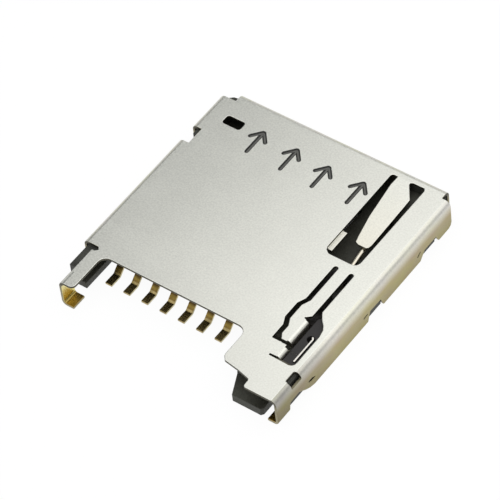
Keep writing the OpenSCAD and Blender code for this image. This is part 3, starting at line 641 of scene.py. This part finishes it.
def cut_faces(piece, sheet):
    """The faces of a sheet part with more metal behind them than the sheet is thick: its cut edges."""
    skin = piece.data
    skin.calc_loop_triangles()
    metal = BVHTree.FromPolygons([vert.co for vert in skin.vertices],
                                 [triangle.vertices for triangle in skin.loop_triangles])
    deep = {}
    for triangle in skin.loop_triangles:
        middle = sum((skin.vertices[i].co for i in triangle.vertices), Vector()) / 3
        depth = metal.ray_cast(middle - triangle.normal * 0.001 * mm, -triangle.normal)[3]
        if depth is None or depth > sheet:
            deep[triangle.polygon_index] = deep.get(triangle.polygon_index, 0) + triangle.area
    return {index for index, area in deep.items() if area > skin.polygons[index].area / 2}


# Colour by height: the nickel is warmer towards the board, and darker there by a painted reflection of
# the shaded table; the cut edges are painted dark near the top as shade.
satin_nickel = nickel("satin nickel", rough=0.33, stops=[
    (0, (0.60, 0.56, 0.42)), (1.2, (0.76, 0.73, 0.60)), (1.5, (0.85, 0.83, 0.73)),
    (1.7, (0.855, 0.86, 0.80))], painted_front_shade=0.92)
sheared = nickel("sheared edge", rough=0.45, stops=[
    (0, (0.40, 0.36, 0.24)), (1.2, (0.34, 0.31, 0.2)), (1.5, (0.13, 0.12, 0.09)),
    (1.7, (0.12, 0.115, 0.09))], dull=0.75)
# The feet's gold is painted reflection of the warm walls in each other, darkened low down as painted
# shade.
painted_foot_reflection = nickel("foot painted reflection", rough=0.28, stops=[
    (0, (0.36, 0.22, 0.05)), (0.15, (0.42, 0.27, 0.06)), (0.3, (0.86, 0.75, 0.26)),
    (1.2, (0.95, 0.86, 0.41)), (1.5, (0.7, 0.64, 0.42))])
side_nickel = nickel("side nickel", rough=0.38, stops=[
    (0, (0.36, 0.32, 0.16)), (0.5, (0.42, 0.38, 0.22)), (0.92, (0.48, 0.43, 0.26)),
    (1.28, (0.66, 0.63, 0.54)), (1.55, (0.78, 0.775, 0.73)), (1.7, (0.80, 0.805, 0.74))],
    stain=1.4, painted_front_shade=0.58)
finishes = [satin_nickel, sheared, painted_foot_reflection, side_nickel]
cover = soft_edged("cover", "folded_cover", 0.035 * mm, finishes)

# The cut edges are bare metal, painted dark near the top as shade; the feet at the mouth take a gold
# of painted reflections inside; the walls are stained, and darkened low down and to the front by
# painted reflection and shade.
low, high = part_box("cover")
foot_line, foot_top = low.y + 1.5 * mm, 1.3 * mm
side_line, rear_line = high.x - 0.75 * mm, high.y - 0.35 * mm
sheared_faces = cut_faces(cover, 0.2 * mm)
for face in cover.data.polygons:
    at, facing = face.center, face.normal
    inwards = facing.x * at.x < -0.1 * abs(at.x)
    if face.index in sheared_faces:
        face.material_index = finishes.index(sheared)
    elif at.y < foot_line and at.z < foot_top and (inwards or facing.z > 0.1):
        face.material_index = finishes.index(painted_foot_reflection)
    elif facing.z < 0.99 and (abs(at.x) > side_line or at.y > rear_line):
        face.material_index = finishes.index(side_nickel)

# The marks: four insertion arrows struck into the cover with a blunt punch.
# Each is a stem and two barbs: round-bottomed lines with round ends, painted shade making their walls
# dark and their bottom paler.
groove, tree = material("struck groove")
film, _ = grained(tree, pit=0.03, cloud=0.3, pits=0.5)
# The groove's dark walls and paler bottom are painted shade.
painted_groove_shade = by_height(tree, [(1.63, (0.27, 0.27, 0.25)), (1.64, (0.006, 0.006, 0.005))])
surface(tree, "ShaderNodeBsdfPrincipled", {
    "Base Color": tinted(tree, film, painted_groove_shade, (0.026, 0.026, 0.023, 1), "MIX"),
    "Roughness": 0.6})

punch, given, result = geometry_tree("struck line", {
    "Nose radius": ("NodeSocketFloat", 0.13 * mm), "Corner": ("NodeSocketFloat", 0.05 * mm)})
route = bent_line(punch, given["Geometry"], given["Corner"], steps=6)
dress(punch, rod(punch, route, given["Nose radius"], sides=20), groove, result)

dab, given, result = geometry_tree("round end", {"Nose radius": ("NodeSocketFloat", 0.123 * mm)})
ball = node(dab, "GeometryNodeMeshIcoSphere", {"Radius": given["Nose radius"], "Subdivisions": 3})
balls = node(dab, "GeometryNodeInstanceOnPoints", {"Points": given["Geometry"],
                                                   "Instance": ball.outputs[0]})
dress(dab, balls.outputs[0], groove, result)

mark_places = [(-3.52, 5.26), (-1.42, 5.18), (0.57, 5.05), (2.63, 5.09)]
nose_z = high.z + 0.055 * mm
stem = [(0, -0.76), (0, 0.62)]
barbs = [(-0.46, 0.18), (0, 0.72), (0.46, 0.18)]
# The balls stand a hair off the ends of the lines, which keeps each cut clean.
ends = [[(x + 0.001, y - 0.005)] for x, y in (stem[0], barbs[0], barbs[2])]
for strokes, tree in (([stem], punch), ([barbs], punch), (ends, dab)):
    marks = bare_edges("marks", [[((x + a) * mm, (y + b) * mm, nose_z) for a, b in stroke]
                                 for x, y in mark_places for stroke in strokes])
    grow(marks, tree, {})
    bm = bmesh.new()
    bm.from_mesh(marks.data)
    bmesh.ops.recalc_face_normals(bm, faces=bm.faces)
    bm.to_mesh(marks.data)
    bm.free()
    strike = cover.modifiers.new("strike", "BOOLEAN")
    strike.object = marks
    strike.operation = "DIFFERENCE"
    strike.solver = "MANIFOLD"
    strike.material_mode = "TRANSFER"
    settle(cover)
    bpy.data.objects.remove(marks)
even_shading(cover)
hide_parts("cover")
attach(cover, "housing")
